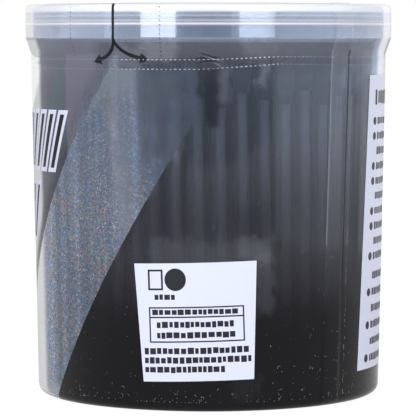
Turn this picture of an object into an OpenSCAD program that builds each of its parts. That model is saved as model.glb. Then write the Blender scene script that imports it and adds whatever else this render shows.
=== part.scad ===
// A round tub of cotton swabs, sealed for sale. A clear moulded tub holds upright swabs
// in rings, a clear lid is pressed over its rim, and a printed shrink film covers both.
// The origin is at the centre of the foot, +Z is up, and the square panel faces -Y.
// Angles round the axis are in degrees: 0 faces -Y, and they grow towards +X.

/* [Swabs] */
// Length of a swab from end to end
swab_l = 76; // [60:0.5:90]
// Diameter of the paper stem
stem_d = 2.4; // [1.8:0.1:3]
// Diameter of a cotton tip where it is widest
tip_d = 4.4; // [3.8:0.1:6]
// Length of a cotton tip
tip_l = 12; // [9:0.5:20]
// How much longer or shorter than that a tip may be wound
tip_vary = 1.7; // [0:0.1:2]
// Length of the tip's taper towards the stem
tip_taper_l = 4.5; // [2:0.25:6]
// Thickness of the cotton where the taper meets the stem
tip_neck_t = 0.35; // [0.1:0.05:0.6]
// Depth of cotton between the end of the stem and the end of the tip
tip_pad = 2.6; // [1:0.1:4]
// Gap between a stem and the cotton wound round it
stem_fit = 0.03; // [0.01:0.01:0.1]
// Free space between two tips, and between the outer tips and the wall
tip_play = 0.22; // [0.15:0.01:0.8]
// Largest sideways lean of a swab, in degrees
swab_lean = 1.3; // [0:0.1:1.5]
// How far each ring of swabs is turned from the ring round it, in degrees
ring_angle = 49; // [0:1:90]
// Gap between the lower tips and the tub's floor
rest_gap = 0.05; // [0.02:0.01:0.3]

/* [Tub] */
// Outer radius that the wall would have at the height of the foot
foot_r = 38.1; // [30:0.1:55]
// Draft of the wall, in degrees
draft = 1.1; // [0:0.1:2]
// Thickness of the wall
wall = 1; // [0.6:0.1:2]
// Thickness of the floor
floor_t = 1.2; // [0.8:0.1:3]
// Radius of the rounded edge between wall and underside
corner_r = 1.8; // [1:0.1:3]
// Radius of the fillet between wall and floor, inside
fillet_r = 1.4; // [0.5:0.1:1.8]
// Distance from the wall to the foot ring, measured on the underside
foot_inset = 3.1; // [2.5:0.1:6]
// Width of the foot ring that the tub stands on
foot_w = 2.4; // [1:0.1:4]
// Height of the underside above the surface, outside the foot ring
base_step = 0.2; // [0.2:0.05:1]
// Height of the hollow inside the foot ring
base_recess = 1.2; // [0.6:0.1:3]
// Height of the rim above the ends of the swabs
rim_over = 4.95; // [4.6:0.05:15]
// Radius of the bead round the rim that the lid snaps over
bead_r = 0.3; // [0.15:0.05:0.5]
// How far the bead stands out of the wall
bead_out = 0.2; // [0.05:0.01:0.3]
// Distance from the rim down to the bead
bead_drop = 1; // [0.8:0.1:2.5]

/* [Lid] */
// Thickness of the lid's skirt
lid_wall = 1; // [0.7:0.1:2]
// Gap between the skirt and the tub's rim
lid_fit = 0.12; // [0.05:0.01:0.4]
// How far the skirt reaches down over the tub, below the rim
skirt_l = 4; // [3:0.1:12]
// Gap between the rim and the shoulder in the lid that sits on it
seat_gap = 0.05; // [0.02:0.01:0.2]
// Width of that shoulder
seat_w = 0.8; // [0.4:0.1:2]
// Height of the shoulder under the top panel
seat_h = 1.35; // [0.8:0.05:4]
// Thickness of the top panel
panel_t = 1; // [0.6:0.1:2]
// Height of the raised edge above the top panel
edge_h = 0.8; // [0.3:0.1:2]
// Width of the raised edge
edge_w = 2.6; // [1.5:0.1:5]
// Radius of the lid's rounded outer edge
lid_round = 0.85; // [0.3:0.05:1]
// Radius of the shallow ring pressed into the middle of the top panel
disc_r = 27; // [15:0.5:28]
// Width of that ring
disc_w = 1.6; // [0.6:0.1:3]
// Depth of that ring
disc_depth = 0.3; // [0.1:0.05:0.4]

/* [Film] */
// Thickness of the shrink film
film_t = 0.1; // [0.04:0.01:0.12]
// Gap between the film and what it is shrunk onto
film_gap = 0.05; // [0.02:0.01:0.1]
// How far the film reaches in over the top panel, past the raised edge
film_top_w = 3.2; // [2:0.1:8]
// Run over which the film drops from the raised edge to the top panel
film_drop_w = 1.2; // [0.5:0.1:1.8]
// Height over which the film narrows from the skirt to the wall
neck_l = 3.6; // [1:0.1:8]
// Width of the film's glued overlap
seam_w = 5.4; // [2:0.1:8]
// Angle of the overlap, round the axis
seam_angle = 45.2; // [30:0.1:56]

/* [Print] */
// Thickness of the ink
ink_t = 0.04; // [0.02:0.01:0.06]
// Gap between the ink and the film under it
ink_gap = 0.01; // [0.01:0.01:0.03]
// Angle of the white front panel, round the axis
panel_angle = -3.2; // [-8:0.1:5]
// Width of the front panel along its upper edge
panel_top_w = 26; // [15:0.5:30]
// Width of the front panel along its lower edge
panel_foot_w = 23.5; // [15:0.5:30]
// Height of the front panel
panel_h = 25.2; // [15:0.1:40]
// Height of the front panel's lower edge above the foot
panel_z = 6.8; // [4:0.1:15]
// Slope that the shrinking gave the front panel, in degrees
panel_slope = 1.7; // [-3:0.1:3]
// Angle of the middle of the white side panel
side_angle = 92; // [85:1:100]
// Width of the side panel, measured straight across
side_w = 43.2; // [20:0.2:46]
// Distance from the skirt down to the side panel
side_drop = 8.1; // [6:0.1:20]
// Height of the side panel's lower edge above the foot
side_z = 6.7; // [4:0.1:15]
// How far the side panel's upper edge is shifted against its lower edge
side_shift = 2.1; // [-4:0.1:4]
// Distance from the skirt down to the upper edge of the silver band
band_drop = 6.5; // [5:0.1:15]
// Angle of the silver band's upright right edge
band_angle = -3.9; // [-10:0.1:0]
// Length of that upright edge
band_upright_l = 10.5; // [2:0.1:20]
// Angle of the band's upper left corner
band_left_angle = -31.9; // [-40:0.1:-15]
// Angle by which the band's right edge falls back from there down to the foot
band_right_fall_angle = 56.5; // [30:0.5:65]
// Angle by which the band's left edge falls back from its top down to the foot
band_left_fall_angle = 72.9; // [50:0.1:80]
// Angle of the tear mark with two arrows
mark_angle = -29.5; // [-36:0.1:-20]
// Width of the tear mark's lines
mark_w = 0.6; // [0.3:0.05:1]
// Radius of the tear mark's curved arms
mark_r = 5; // [3:0.1:6]
// Length of the tear mark's arrow heads
mark_head_l = 1.7; // [0.8:0.1:3]
// Angle of the first of the leaning strokes, round the axis
stroke_angle = -60.5; // [-70:0.5:-60]
// Angle from one stroke to the next
stroke_step_angle = 6.5; // [6:0.1:9]
// Number of leaning strokes in the upper row
stroke_n = 9; // [1:1:10]
// Width of a stroke
stroke_w = 3.6; // [2:0.1:4]
// Width of a stroke's white outline
stroke_line = 0.75; // [0.3:0.05:0.9]
// Height of a stroke
stroke_l = 13.6; // [8:0.1:16]
// Lean of the strokes towards the silver band, in degrees
stroke_lean = 22; // [0:0.5:25]
// Distance from the skirt down to the upper row of strokes
stroke_drop = 15.6; // [12:0.1:20]
// Distance between the two rows of strokes
stroke_gap = 2.2; // [1:0.1:5]
// Number of strokes that the lower row is short of at the start
stroke_skip_n = 3; // [0:1:5]

/* [Small print] */
// Width of the thin printed lines
line_w = 0.35; // [0.2:0.05:0.6]
// Height of the bars that stand for lines of small print
bar_h = 1.15; // [0.6:0.05:1.4]
// Distance from one bar to the next on the front panel
bar_pitch = 2; // [1.8:0.1:2.4]
// Height of the middle of the lowest bar above the front panel's lower edge
bar_z = 2.5; // [1.5:0.1:3]
// Length of the long bars on the front panel
bar_w = 22.6; // [12:0.2:22.6]
// Length of the last bar
bar_last_w = 17; // [4:0.2:20]
// Width of the table on the front panel
table_w = 20.2; // [12:0.2:22]
// Height of the table
table_h = 7.6; // [7:0.1:9]
// Height of the table's lower edge above the front panel's lower edge
table_z = 8.3; // [8:0.1:9]
// Height of the table's head row
head_h = 2.2; // [2:0.1:3]
// Distance from the ends of the table's bars to its frame
cell_w = 1.6; // [0.8:0.1:3]
// Width of the small open box over the table
box_w = 3.2; // [2:0.1:4]
// Height of the box
box_h = 4.4; // [3:0.1:5]
// Diameter of the round spot beside the box
spot_d = 4.6; // [3:0.1:5]
// Height of the middle of box and spot above the front panel's lower edge
box_z = 21.7; // [21:0.1:22]
// Distance from the side panel's edge to its bars
margin_w = 2.8; // [2:0.1:6]
// Height of the title bar on the side panel
title_h = 3.2; // [2:0.1:4]
// Distance from the side panel's upper edge to the middle of the title bar
title_drop = 4.9; // [4:0.1:8]
// Distance from the title bar to the first bar under it
title_gap = 5.2; // [4:0.1:8]
// Distance from one bar to the next on the side panel
side_pitch = 3.3; // [2:0.1:3.5]
// Number of bars under the title
side_n = 10; // [1:1:12]
// Distance between the two groups of bars
group_gap = 4.3; // [2:0.1:5]
// Number of bars in the lower group
group_n = 6; // [1:1:6]
// Diameter of the dots in front of the bars
dot_d = 1.7; // [1:0.1:2]

/* [Hidden] */
$fn = 48;
arc_steps = 6;
band_steps = 8;

tip_r = tip_d / 2;
floor_top = base_recess + floor_t;
tip_z = floor_top + rest_gap + tip_r;
tub_h = floor_top + rest_gap + swab_l + rim_over;
foot_out_r = foot_r - foot_inset;
foot_in_r = foot_out_r - foot_w;
corner_z = base_step + corner_r;
fillet_z = floor_top + fillet_r;
rim_r = wall_r(tub_h);

skirt_z = tub_h - skirt_l;
skirt_in_r = rim_r + lid_fit;
lid_r = skirt_in_r + lid_wall;
seat_z = tub_h + seat_gap;
seat_in_r = rim_r - seat_w;
panel_under = seat_z + seat_h;
panel_top = panel_under + panel_t;
lid_top = panel_top + edge_h;
edge_in_r = lid_r - edge_w;

film_foot_r = foot_out_r + film_gap;
neck_z = skirt_z - neck_l;
film_out = film_gap + film_t;
ink_in = film_out + ink_gap;
ink_step = ink_t + ink_gap;
reach = lid_r + 2 * film_out + wall;
side_h = skirt_z - side_drop - side_z;

vary_angle = 137.5;
tip_pitch = tip_d + tip_play;
ring0_r = inner_r(tip_z) - tip_play - tip_r;
rings = floor(ring0_r / tip_pitch) + 1;

band_top = skirt_z - band_drop;
band_knee = band_top - band_upright_l;
band_face_angle = -60;

// Outer and inner radius of the tub's wall at height z
function wall_r(z) = foot_r + z * tan(draft);
function inner_r(z) = wall_r(z) - wall;

// Points on an arc of radius r round the point c, from the angle a to the angle b
function arc(c, r, a, b) =
  [for (i = [0:arc_steps]) let (t = a + (b - a) * i / arc_steps) c + r * [cos(t), sin(t)]];

function turned_back(list) = [for (i = [len(list) - 1:-1:0]) list[i]];

// Radius of a ring of swabs at the floor, and how many swabs stand in it
function ring_r(k) = let (r = ring0_r - k * tip_pitch) r < tip_pitch / 2 ? 0 : r;
function ring_n(k) = ring_r(k) == 0 ? 1 : floor(180 / asin(tip_pitch / 2 / ring_r(k)));

// Outline of the film at the distance d from what it is shrunk onto, from the top
// panel over the lid's edge, down the skirt and the wall, and round the lower edge
function film_path(d) = concat(
  [[edge_in_r - film_top_w, panel_top + d]],
  [[edge_in_r - film_drop_w, panel_top + d]],
  [[edge_in_r, lid_top + d]],
  arc([lid_r - lid_round, lid_top - lid_round], lid_round + d, 90, 0),
  [[lid_r + d, skirt_z]],
  [[wall_r(neck_z) + d, neck_z]],
  arc([wall_r(corner_z) - corner_r, corner_z], corner_r + d, 0, -90),
  [[film_foot_r, base_step - d]]
);

// Angles of the silver band's two slanting edges at height z
function band_right(z) = band_angle - (1 - z / band_knee) * band_right_fall_angle;
function band_left(z) = band_left_angle - (1 - z / band_top) * band_left_fall_angle;

// The height at a share of the way from the film's lower edge up to top
function band_z(top, share) = base_step + (top - base_step) * share;

// How far to the side a point of the wall is when seen flat from the middle of the band
function band_u(angle, z) = (wall_r(z) + ink_in) * sin(angle - band_face_angle);

// A closed skin round the whole tub, from the distance a to the distance b
module film_skin(a, b) {
  rotate_extrude()
    polygon(concat(film_path(b), turned_back(film_path(a))));
}

// A flat shape thrown outwards from the radius near, at an angle and a height
module thrown(angle, z, near = 0) {
  rotate([0, 0, angle])
    translate([0, -near, z])
      rotate([90, 0, 0])
        linear_extrude(reach - near)
          children();
}

// A layer of ink on the film, in the shape of what is thrown at it. Layer 1 is printed
// over layer 0.
module ink(layer = 0) {
  intersection() {
    film_skin(ink_in + layer * ink_step, ink_in + layer * ink_step + ink_t);
    children();
  }
}

// Puts its child at each swab's place. The rings spread with the wall's draft, and
// the swabs of a ring lean a little to one side and the other. Each swab passes on how
// much longer than tip_l its own tips are wound.
module each_swab() {
  for (k = [0:rings - 1]) {
    share = ring_r(k) / ring0_r;
    for (i = [0:ring_n(k) - 1]) {
      angle = 360 * i / ring_n(k) + ring_angle * k;
      $longer = tip_vary * sin(vary_angle * (i + ring_n(0) * k));
      rotate([0, 0, angle])
        translate([ring_r(k), 0, tip_z])
          rotate([-swab_lean * share * sin(angle), draft * share, 0])
            translate([0, 0, -tip_r])
              children();
    }
  }
}

// One cotton tip with its round end at the origin, wound on a stem that enters above
module cotton_tip(l) {
  neck_r = stem_d / 2 + tip_neck_t;
  rotate_extrude()
    difference() {
      union() {
        intersection() {
          translate([0, tip_r])
            circle(tip_r);
          square([tip_r, tip_r]);
        }
        polygon([
          [0, tip_r],
          [tip_r, tip_r],
          [tip_r, l - tip_taper_l],
          [neck_r, l],
          [0, l]
        ]);
      }
      translate([0, tip_pad - stem_fit])
        square([stem_d / 2 + stem_fit, l]);
    }
}

// One corner of a stroke, made smaller by inset: side is -1 or 1, and end is 0 or 1
function stroke_corner(inset, side, end) =
  let (y = inset + end * (stroke_l - 2 * inset))
    [y * tan(stroke_lean) + side * (stroke_w / 2 - inset / cos(stroke_lean)), y];

// Left half of the tear mark's outline: down the line, out along the curved arm, round
// the arrow head and back along the arm to the fork
function mark_half() = concat(
  [[-mark_w / 2, lid_top]],
  arc([-mark_r, 0], mark_r - mark_w / 2, 0, -90),
  [[-mark_r, mark_w - mark_r]],
  [[-mark_r - mark_head_l, -mark_r]],
  [[-mark_r, -mark_w - mark_r]],
  arc([-mark_r, 0], mark_r + mark_w / 2, -90, -acos(mark_r / (mark_r + mark_w / 2)))
);

// The same outline seen in a mirror, without the point at the fork that both halves share
function mark_other_half() =
  [for (i = [len(mark_half()) - 2:-1:0]) [-mark_half()[i][0], mark_half()[i][1]]];

// A leaning stroke with level ends, made smaller by inset all round
module stroke(inset) {
  polygon([
    stroke_corner(inset, -1, 0),
    stroke_corner(inset, 1, 0),
    stroke_corner(inset, 1, 1),
    stroke_corner(inset, -1, 1)
  ]);
}

// The strokes' places: an upper row and a shorter one under it
module each_stroke() {
  upper_z = skirt_z - stroke_drop - stroke_l;
  for (i = [0:stroke_n - 1])
    thrown(stroke_angle - i * stroke_step_angle, upper_z, foot_out_r)
      children();
  for (i = [stroke_skip_n:stroke_n - 1])
    thrown(stroke_angle - i * stroke_step_angle, upper_z - stroke_gap - stroke_l, foot_out_r)
      children();
}

// An upright frame of thin lines with its lower left corner at x, y
module open_box(x, y, w, h) {
  translate([x, y])
    difference() {
      square([w, h]);
      translate([line_w, line_w])
        square([w - 2 * line_w, h - 2 * line_w]);
    }
}

// A bar from x to the right, with its middle at the height y
module bar(x, y, w, h = bar_h) {
  translate([x, y - h / 2])
    square([w, h]);
}

// The small print of the front panel, measured from the middle of its lower edge: a box
// and a spot over a short bar, a table with a head row, and a paragraph of bars
module front_print() {
  left = -table_w / 2;
  row_h = (table_h - head_h) / 2;
  spot_x = left + box_w + line_w + spot_d / 2;
  open_box(left, box_z - box_h / 2, box_w, box_h);
  translate([spot_x, box_z])
    circle(d = spot_d);
  bar(left + box_w / 2, (box_z - box_h / 2 + table_z + table_h) / 2, spot_d);
  open_box(left, table_z, table_w, table_h);
  bar(left, table_z + 2 * row_h, table_w, line_w);
  bar(left + cell_w / 2, table_z + table_h - head_h / 2, table_w - cell_w);
  for (i = [0:1])
    bar(left + cell_w, table_z + (i + 0.5) * row_h, table_w - 2 * cell_w);
  bar(-bar_w / 2, bar_z, bar_last_w);
  for (i = [1:2])
    bar(-bar_w / 2, bar_z + i * bar_pitch, bar_w);
}

// A bar of the side panel at a height in it, with or without a dot. Every third bar runs
// on from the one before, so it is shorter and has no dot.
module side_bar(y, i) {
  x = margin_w - side_w / 2 + side_shift * y / side_h;
  full = side_w - 2 * margin_w - dot_d * 1.5;
  bar(x + dot_d * 1.5, y, i % 3 == 2 ? full * 0.6 : full);
  if (i % 3 != 2)
    translate([x + dot_d / 2, y])
      circle(d = dot_d);
}

// The small print of the side panel: a title bar over two groups of bars
module side_print() {
  title_y = side_h - title_drop;
  group_y = title_y - title_gap - (side_n - 1) * side_pitch - group_gap;
  bar(margin_w - side_w / 2 + side_shift, title_y, side_w / 2, title_h);
  for (i = [0:side_n - 1])
    side_bar(title_y - title_gap - i * side_pitch, i);
  for (i = [0:group_n - 1])
    side_bar(group_y - i * side_pitch * 1.1, 2 - i % 2);
}

// The clear tub: one moulded shell on a foot ring, with a snap bead round its rim
module tub() {
  color([0.86, 0.89, 0.93, 0.5]) {
    rotate_extrude()
      polygon(concat(
        [[0, base_recess]],
        [[foot_in_r, base_recess]],
        [[foot_in_r, 0]],
        [[foot_out_r, 0]],
        [[foot_out_r, base_step]],
        arc([wall_r(corner_z) - corner_r, corner_z], corner_r, -90, 0),
        arc([rim_r - wall / 2, tub_h - wall / 2], wall / 2, 0, 180),
        arc([inner_r(fillet_z) - fillet_r, fillet_z], fillet_r, 0, -90),
        [[0, floor_top]]
      ));
    rotate_extrude()
      translate([wall_r(tub_h - bead_drop) + bead_out - bead_r, tub_h - bead_drop])
        circle(bead_r);
  }
}

// The clear lid: its shoulder sits on the rim, and the skirt's groove takes the bead
module lid() {
  color([0.9, 0.93, 0.97, 0.5])
    difference() {
      rotate_extrude()
        polygon(concat(
          [[0, panel_top]],
          [[edge_in_r - edge_h / 2, panel_top]],
          [[edge_in_r, lid_top]],
          arc([lid_r - lid_round, lid_top - lid_round], lid_round, 90, 0),
          [[lid_r, skirt_z]],
          [[skirt_in_r, skirt_z]],
          [[skirt_in_r, seat_z]],
          [[seat_in_r, seat_z]],
          [[seat_in_r, panel_under]],
          [[0, panel_under]]
        ));
      rotate_extrude()
        translate([wall_r(tub_h - bead_drop) + bead_out - bead_r, tub_h - bead_drop])
          circle(bead_r + lid_fit);
      rotate_extrude()
        translate([disc_r - disc_w, panel_top - disc_depth])
          square([disc_w, 2 * disc_depth]);
    }
}

// The paper stems, which end inside the cotton
module swab_stems() {
  color([0.09, 0.09, 0.1])
    each_swab()
      translate([0, 0, tip_pad])
        cylinder(d = stem_d, h = swab_l - 2 * tip_pad);
}

// The cotton tips that stand on the floor
module lower_tips() {
  color([0.05, 0.05, 0.055])
    each_swab()
      cotton_tip(tip_l + $longer);
}

// The cotton tips under the lid
module upper_tips() {
  color([0.05, 0.05, 0.055])
    each_swab()
      translate([0, 0, swab_l])
        mirror([0, 0, 1])
          cotton_tip(tip_l - $longer);
}

// The shrink film, with its upright glued overlap
module shrink_film() {
  color([0.3, 0.32, 0.37, 0.6]) {
    film_skin(film_gap, film_out);
    intersection() {
      film_skin(film_gap, film_out + film_t);
      thrown(seam_angle, 0)
        translate([-seam_w / 2, base_step])
          square([seam_w, lid_top + reach]);
    }
  }
}

// The silver band, cut along lines that climb round the wall
module silver_band() {
  color([0.62, 0.65, 0.72])
    ink()
      thrown(band_face_angle, 0)
        polygon(concat(
          [for (i = [0:band_steps])
            let (z = band_z(band_top, 1 - i / band_steps)) [band_u(band_left(z), z), z]],
          [for (i = [0:band_steps])
            let (z = band_z(band_knee, i / band_steps)) [band_u(band_right(z), z), z]],
          [[band_u(band_angle, band_top), band_top]]
        ));
}

// The white fields: the front panel, the side panel and the outlines of the strokes
module white_print() {
  color([0.93, 0.94, 0.98]) {
    ink()
      thrown(panel_angle, panel_z)
        rotate(panel_slope)
          polygon([
            [-panel_foot_w / 2, 0],
            [panel_foot_w / 2, 0],
            [panel_top_w / 2, panel_h],
            [-panel_top_w / 2, panel_h]
          ]);
    ink()
      thrown(side_angle, side_z)
        polygon([
          [-side_w / 2, 0],
          [side_w / 2, 0],
          [side_w / 2 + side_shift, side_h],
          [side_shift - side_w / 2, side_h]
        ]);
    ink()
      each_stroke()
        difference() {
          stroke(0);
          stroke(stroke_line);
        }
  }
}

// The black print: the tear mark, the strokes' cores and the panels' small print, which
// lies over the white
module black_print() {
  color([0.06, 0.06, 0.07]) {
    ink()
      thrown(mark_angle, skirt_z, foot_out_r)
        polygon(concat(mark_half(), mark_other_half()));
    ink()
      each_stroke()
        stroke(stroke_line);
    ink(1)
      thrown(panel_angle, panel_z)
        rotate(panel_slope)
          front_print();
    ink(1)
      thrown(side_angle, side_z)
        side_print();
  }
}

tub();
lid();
swab_stems();
lower_tips();
upper_tips();
shrink_film();
silver_band();
white_print();
black_print();
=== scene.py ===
import bisect
import math
import random

import bpy
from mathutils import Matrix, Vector, noise

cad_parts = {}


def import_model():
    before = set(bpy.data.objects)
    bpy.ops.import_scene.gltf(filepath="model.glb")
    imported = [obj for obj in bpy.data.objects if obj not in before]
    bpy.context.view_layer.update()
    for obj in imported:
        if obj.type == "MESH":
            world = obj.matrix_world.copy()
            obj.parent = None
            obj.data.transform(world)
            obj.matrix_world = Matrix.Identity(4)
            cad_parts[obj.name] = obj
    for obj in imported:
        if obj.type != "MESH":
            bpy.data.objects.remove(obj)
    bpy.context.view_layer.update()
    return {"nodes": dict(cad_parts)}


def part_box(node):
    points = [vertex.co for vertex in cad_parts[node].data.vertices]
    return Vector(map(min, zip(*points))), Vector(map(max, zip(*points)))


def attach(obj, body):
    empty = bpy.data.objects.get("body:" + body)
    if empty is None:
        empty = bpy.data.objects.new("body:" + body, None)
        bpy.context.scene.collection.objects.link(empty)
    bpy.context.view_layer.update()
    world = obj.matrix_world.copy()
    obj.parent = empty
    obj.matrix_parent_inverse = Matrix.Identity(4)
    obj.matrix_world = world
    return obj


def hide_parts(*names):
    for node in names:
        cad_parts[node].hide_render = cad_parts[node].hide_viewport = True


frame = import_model()

# Lengths are in metres, and the flat shapes of the print are in mm. A turn is an angle
# round the axis in degrees: 0 faces the camera, along -Y, and it grows towards +X.
MM = 0.001

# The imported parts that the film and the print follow
lid_low, lid_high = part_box("lid")
LID_R = lid_high.x
LID_TOP = lid_high.z
SKIRT_Z = lid_low.z
FOOT_R = 38.1 * MM
DRAFT = math.radians(1.1)
LID_ROUND = 0.85 * MM
EDGE_W = 2.6 * MM
EDGE_H = 0.8 * MM
CORNER_R = 1.8 * MM
BASE_STEP = 0.2 * MM
FOOT_RING_R = 35 * MM
NECK_Z = SKIRT_Z - 3.6 * MM
FILM_T = 0.1 * MM
FILM_GAP = 0.05 * MM
FILM_OUT = FILM_GAP + FILM_T
FILM_TOP_W = 3.2 * MM
FILM_DROP_W = 1.2 * MM

# The film's overlap: its middle, width and lean from top to foot, how far aside the film
# leans with it, and half the width over which its edges rise
SEAM_TURN = 45.2
SEAM_W = 5.4 * MM
SEAM_HALF = math.degrees(SEAM_W / 2 / LID_R)
SEAM_LEAN = -2.3
SEAM_LEAN_REACH = 30
SEAM_EDGE = 0.25

# The film's mesh
TURN_STEPS = 288
PROFILE_STEP = 0.9 * MM
ARC_STEPS = 5
CORNER_STEP = 0.12 * MM

# The film's slack on the wall, its pucker over the tear strip and its crease at the neck
SLACK_H = 0.05 * MM
SLACK_RISE = 26
SLACK_FINENESS = 3.1
PUCKER_TURN = 0.3
PUCKER_REACH = 5
PUCKER_Z = 74.6 * MM
PUCKER_L = 1.6 * MM
PUCKER_H = 0.16 * MM
CREASE_Z = NECK_Z - 0.9 * MM
CREASE_L = 0.8 * MM
CREASE_H = 0.07 * MM

# How far each print lies over the film's outside, and how finely it is split
INK_LIFT = 0.012 * MM
OVER_LIFT = 0.024 * MM
TOP_LIFT = 0.036 * MM
PRINT_STEP = 0.6 * MM

# The silver band: its top and its knee, the right edge's turn from the knee up, the left
# edge's at the top, and how many degrees each moves aside down to the foot
BAND_TOP = 72.9 * MM
BAND_KNEE = 62.4 * MM
BAND_RIGHT = -3.9
BAND_LEFT = -31.9
BAND_RIGHT_FALL = 56.5
BAND_LEFT_FALL = 72.9
BAND_COLUMNS = 40

# The white panels. A sheet is (turn, height in mm, slope), as Drape says.
FRONT_SHEET = (-3.2, 6.8, 1.7)
FRONT_LOW_W = 23.5
FRONT_TOP_W = 26
FRONT_H = 25.2
SIDE_SHEET = (92, 6.7, 0)
SIDE_W = 43.2
SIDE_H = 64.6
SIDE_SHIFT = 2.1
MARGIN_W = 2.8
INDENT = 2.5

# The two rows of leaning strokes: their place under the lid's skirt, and one stroke
STROKE_FIRST = -60.5
STROKE_PITCH = 6.5
STROKE_COUNT = 9
LOWER_ROW_START = 3
STROKE_DROP = 15.6
STROKE_ROW_GAP = 2.2
STROKE_LEAN = 22
STROKE_W = 3.6
STROKE_L = 13.6
STROKE_LINE = 0.95

# The tear mark: a line over the lid's skirt, with two arms that curve down and aside
MARK_TURN = -29.5
MARK_W = 0.6
MARK_ARMS = ((-4.3, -4.7), (6.2, -4.4))
MARK_ARM_ANGLE = math.radians(72)
MARK_ARM_STEPS = 12
MARK_SWELL = 0.35
MARK_HEAD = ((-0.5, 2.2), (0.4, 1.3), (1.5, 0.02))

# The small print in mm: x, y, width and height of each line of words on the front panel,
# and on the side panel how many lines there are and how far apart
FRONT_LINES = ((-8.8, 18, 4.8, 1.3), (-9.4, 14.75, 18.8, 1.2), (-8.5, 12.1, 16.6, 1.35),
               (-8.5, 9.85, 16.6, 1.35), (-11.3, 2.5, 17, 1.4), (-11.3, 4.5, 22.6, 1.4),
               (-11.3, 6.5, 22.8, 1.4))
TABLE_LEFT = -10.1
TABLE_W = 20.2
TABLE_LINE = 0.3
SIDE_LIST_DROP = 10.1
SIDE_LIST_LINES = 10
SIDE_LIST_PITCH = 3.3
SIDE_END_DROP = 44.1
SIDE_END_LINES = 6
SIDE_END_PITCH = 3.63

# The tear strip's slits: their number, as (turn, mm) how high their two rows run and how
# tall a slit is, and the two upright rows of holes
SLIT_COUNT = 250
SLIT_ROWS = (((-180, 74.8), (-2.5, 74.8), (9.6, 75.05), (22, 75.45), (41, 75.3), (180, 74.8)),
             ((-180, 72.8), (-2.5, 72.8), (9.6, 73.3), (22, 73.9), (41, 73.6), (180, 72.8)))
SLIT_WIDTHS = ((-180, 0.04), (-29, 0.04), (-27, 0.15), (-3, 0.15), (2, 0.07), (6, 0.16),
               (14, 0.22), (19, 0.2), (23, 0.06), (180, 0.04))
HOLE_TURNS = (-46, -14.5)
HOLE_COUNT = 12
HOLE_LOW = 75.6
HOLE_PITCH = 0.93

# The pucker's folds, as paths in mm round its middle
SHADE_FOLDS = (((-2.4, 1.6), (-0.6, 1.3), (0.9, 0.7), (2.4, 0.35)),
               ((-2.6, -0.75), (-1.2, -0.1), (0.6, 0), (2.2, -0.8)),
               ((-3.4, 0.35), (-1.5, 0.6), (0.4, 0.35)))
SHINE_FOLDS = (((-1.2, 1), (0.8, 0.35), (2.8, 0)), ((0.6, -0.35), (1.8, -0.75), (2.6, -1.5)))
FOLD_STEPS = 10
FOLD_W = 0.26

# The white panels' first and last turn, low and high in mm
PANEL_PLACES = ((-24, 17, 6, 33), (57, 127, 6, 73))

# Dust: how many specks and fibres, and a fibre's steps and width in mm
SPECKS = 1500
FIBRES = 120
FIBRE_STEPS = 7
FIBRE_STEP = 0.16
FIBRE_W = 0.05

# Hazy places of the film, some of them painted highlights of the softboxes, then places of
# painted shade, the middle ones a painted dark reflection of the camera: strength, first
# and last turn, low and high in mm
HAZE_AND_HIGHLIGHT_PATCHES = ((0.075, -20.5, -9.6, 74.6, 79.6), (0.045, 9.6, 21, 75.2, 79.6),
                (0.05, -18.4, -16.8, 47, 66), (0.045, -12.2, -8.6, 53, 67),
                (0.05, 49, 84, 75.5, 79.6), (0.05, -88, -50, 76.5, 79.6),
                (0.05, -30, -21, 72, 78), (0.03, 45.5, 57, 68, 75.5), (0.006, 8, 17, 3, 8),
                (0.06, 15.4, 18.4, 69, 74.4), (0.02, -19, 20, 31, 36.6),
                (0.022, 9.5, 20, 32.5, 36.9), (0.02, 14.5, 21, 21, 34),
                (0.03, -8.4, -3.9, 63, 72.8), (0.03, 3.5, 6.6, 66, 73.6),
                (0.025, 21, 66, 75.4, 79.6))
SHADE_PATCHES = ((0.74, -0.7, 3.2, 60.9, 73.8), (0.7, -3.6, -0.8, 67.6, 73.8),
                 (0.35, -17.5, -12.5, 38, 56), (0.35, -9.2, -7.2, 38, 60),
                 (0.22, 8, 19, 38, 44))

# The film's colours as (height in mm, colour): what it lets through, and its own smoke
FILM_TINT = ((0, (0, 0, 0)), (14.5, (0, 0, 0)), (23, (0.2, 0.2, 0.22)),
             (36, (0.38, 0.39, 0.43)), (45, (0.45, 0.47, 0.51)), (54, (0.58, 0.61, 0.67)),
             (61, (0.65, 0.69, 0.76)), (71, (0.66, 0.71, 0.8)), (75, (0.5, 0.54, 0.62)),
             (77, (0.34, 0.37, 0.43)), (79.2, (0.3, 0.33, 0.39)), (79.35, (0.5, 0.54, 0.61)),
             (83.1, (0.5, 0.54, 0.61)), (83.3, (0.3, 0.35, 0.44)), (83.5, (0.52, 0.56, 0.64)),
             (84.7, (0.56, 0.61, 0.69)), (84.9, (0.9, 0.92, 0.96)), (86.6, (0.9, 0.92, 0.96)),
             (86.7, (0.6, 0.62, 0.67)))
FILM_SMOKE = ((0, (0.0015, 0.0015, 0.003)), (22, (0.002, 0.002, 0.004)),
              (27, (0.009, 0.009, 0.012)), (33, (0.015, 0.015, 0.019)),
              (40, (0.01, 0.01, 0.014)), (54, (0.015, 0.016, 0.022)),
              (70, (0.021, 0.025, 0.035)), (74.5, (0.034, 0.038, 0.05)),
              (76.5, (0.062, 0.068, 0.084)), (79.3, (0.072, 0.08, 0.097)),
              (79.4, (0.035, 0.037, 0.042)))

# Painted highlights where the lid's shoulder, groove and edge show through the film: how white, by
# height in mm
LID_LINES = ((79.25, 0), (79.45, 0.14), (79.65, 0), (81.9, 0), (82.15, 0.22),
             (82.42, 0.9), (82.62, 0.3), (82.8, 0.02), (82.95, 0.02), (83.08, 0.4),
             (83.3, 0.3), (83.45, 0.02), (83.8, 0.02), (84.15, 0.28), (84.35, 0.05),
             (84.75, 0.08), (84.95, 0.55), (85.2, 0.8), (86.2, 0.8), (86.45, 0.62),
             (86.65, 0.75))

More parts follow.
